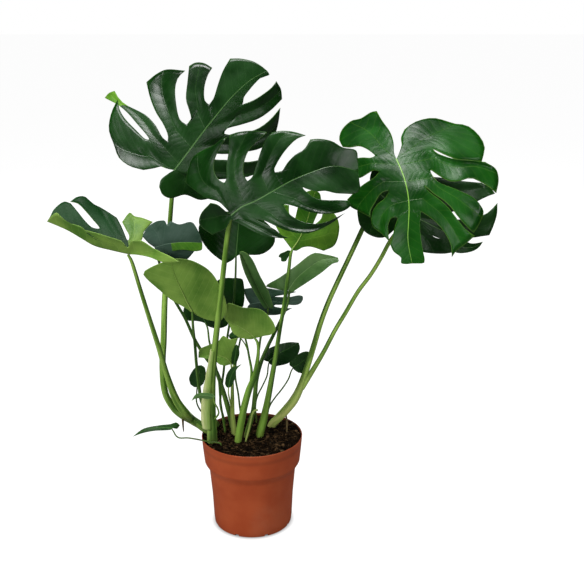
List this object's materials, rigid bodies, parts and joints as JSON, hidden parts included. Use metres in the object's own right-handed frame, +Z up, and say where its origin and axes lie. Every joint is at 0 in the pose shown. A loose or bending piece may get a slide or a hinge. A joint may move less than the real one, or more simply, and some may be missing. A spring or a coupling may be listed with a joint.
{
  "type": "potted monstera plant",
  "caption": "Potted monstera: broad split leaves and small heart leaves on arching green stalks, rooted in dark soil in a round terracotta-coloured nursery pot.",
  "frame": {"origin": "middle of the pot's flat resting face", "axes": "+Z up along the pot's axis, +X to the right and +Y away from the viewer of the front view"},
  "size_m": [0.7114, 0.2651, 0.766],
  "materials": {
    "pot": "matt terracotta-coloured plastic with a faint moulded sheen",
    "soil": "rough, fibrous, dark brown potting soil",
    "leaf": "waxy leaf with a soft gloss, paler and duller underneath",
    "stalk": "smooth fleshy stalk, satin",
    "sheath": "dry cream leaf sheath, matt"
  },
  "bodies": {
    "root": {"pot": "pot", "soil": "soil", "leaf_top_left": "leaf", "leaf_front": "leaf", "leaf_right": "leaf", "leaf_right_rear": "leaf", "leaf_left": "leaf", "leaf_left_rear": "leaf", "leaf_under_left": "leaf", "leaf_under_middle": "leaf", "leaf_behind_front": "leaf", "leaf_folded": "leaf", "leaf_middle_right": "leaf", "leaf_rear_slit": "leaf", "leaf_rear_dark": "leaf", "leaf_under_right": "leaf", "leaf_bud_round": "leaf", "leaf_under_low": "leaf", "leaf_new": "leaf", "leaf_round_left": "leaf", "leaf_narrow": "leaf", "leaf_across": "leaf", "leaf_low_right": "leaf", "leaf_low_right_rear": "leaf", "leaf_trailing": "leaf", "leaf_behind_left": "leaf", "leaf_low_middle": "leaf", "stem_left": "stalk", "stem_front": "stalk", "stem_under_left": "stalk", "stem_middle": "stalk", "stem_behind_front": "stalk", "stem_left_rear": "stalk", "stem_pale": "stalk", "stem_middle_right": "stalk", "stem_under_right": "stalk", "stem_right": "stalk", "stem_rear_slit": "stalk", "stem_behind_left": "stalk", "stem_low_right": "stalk", "stem_low_right_rear": "stalk", "stem_round_left": "stalk", "stem_trailing": "stalk", "stem_curl": "stalk", "sheath": "sheath"}
  },
  "joints": []
}
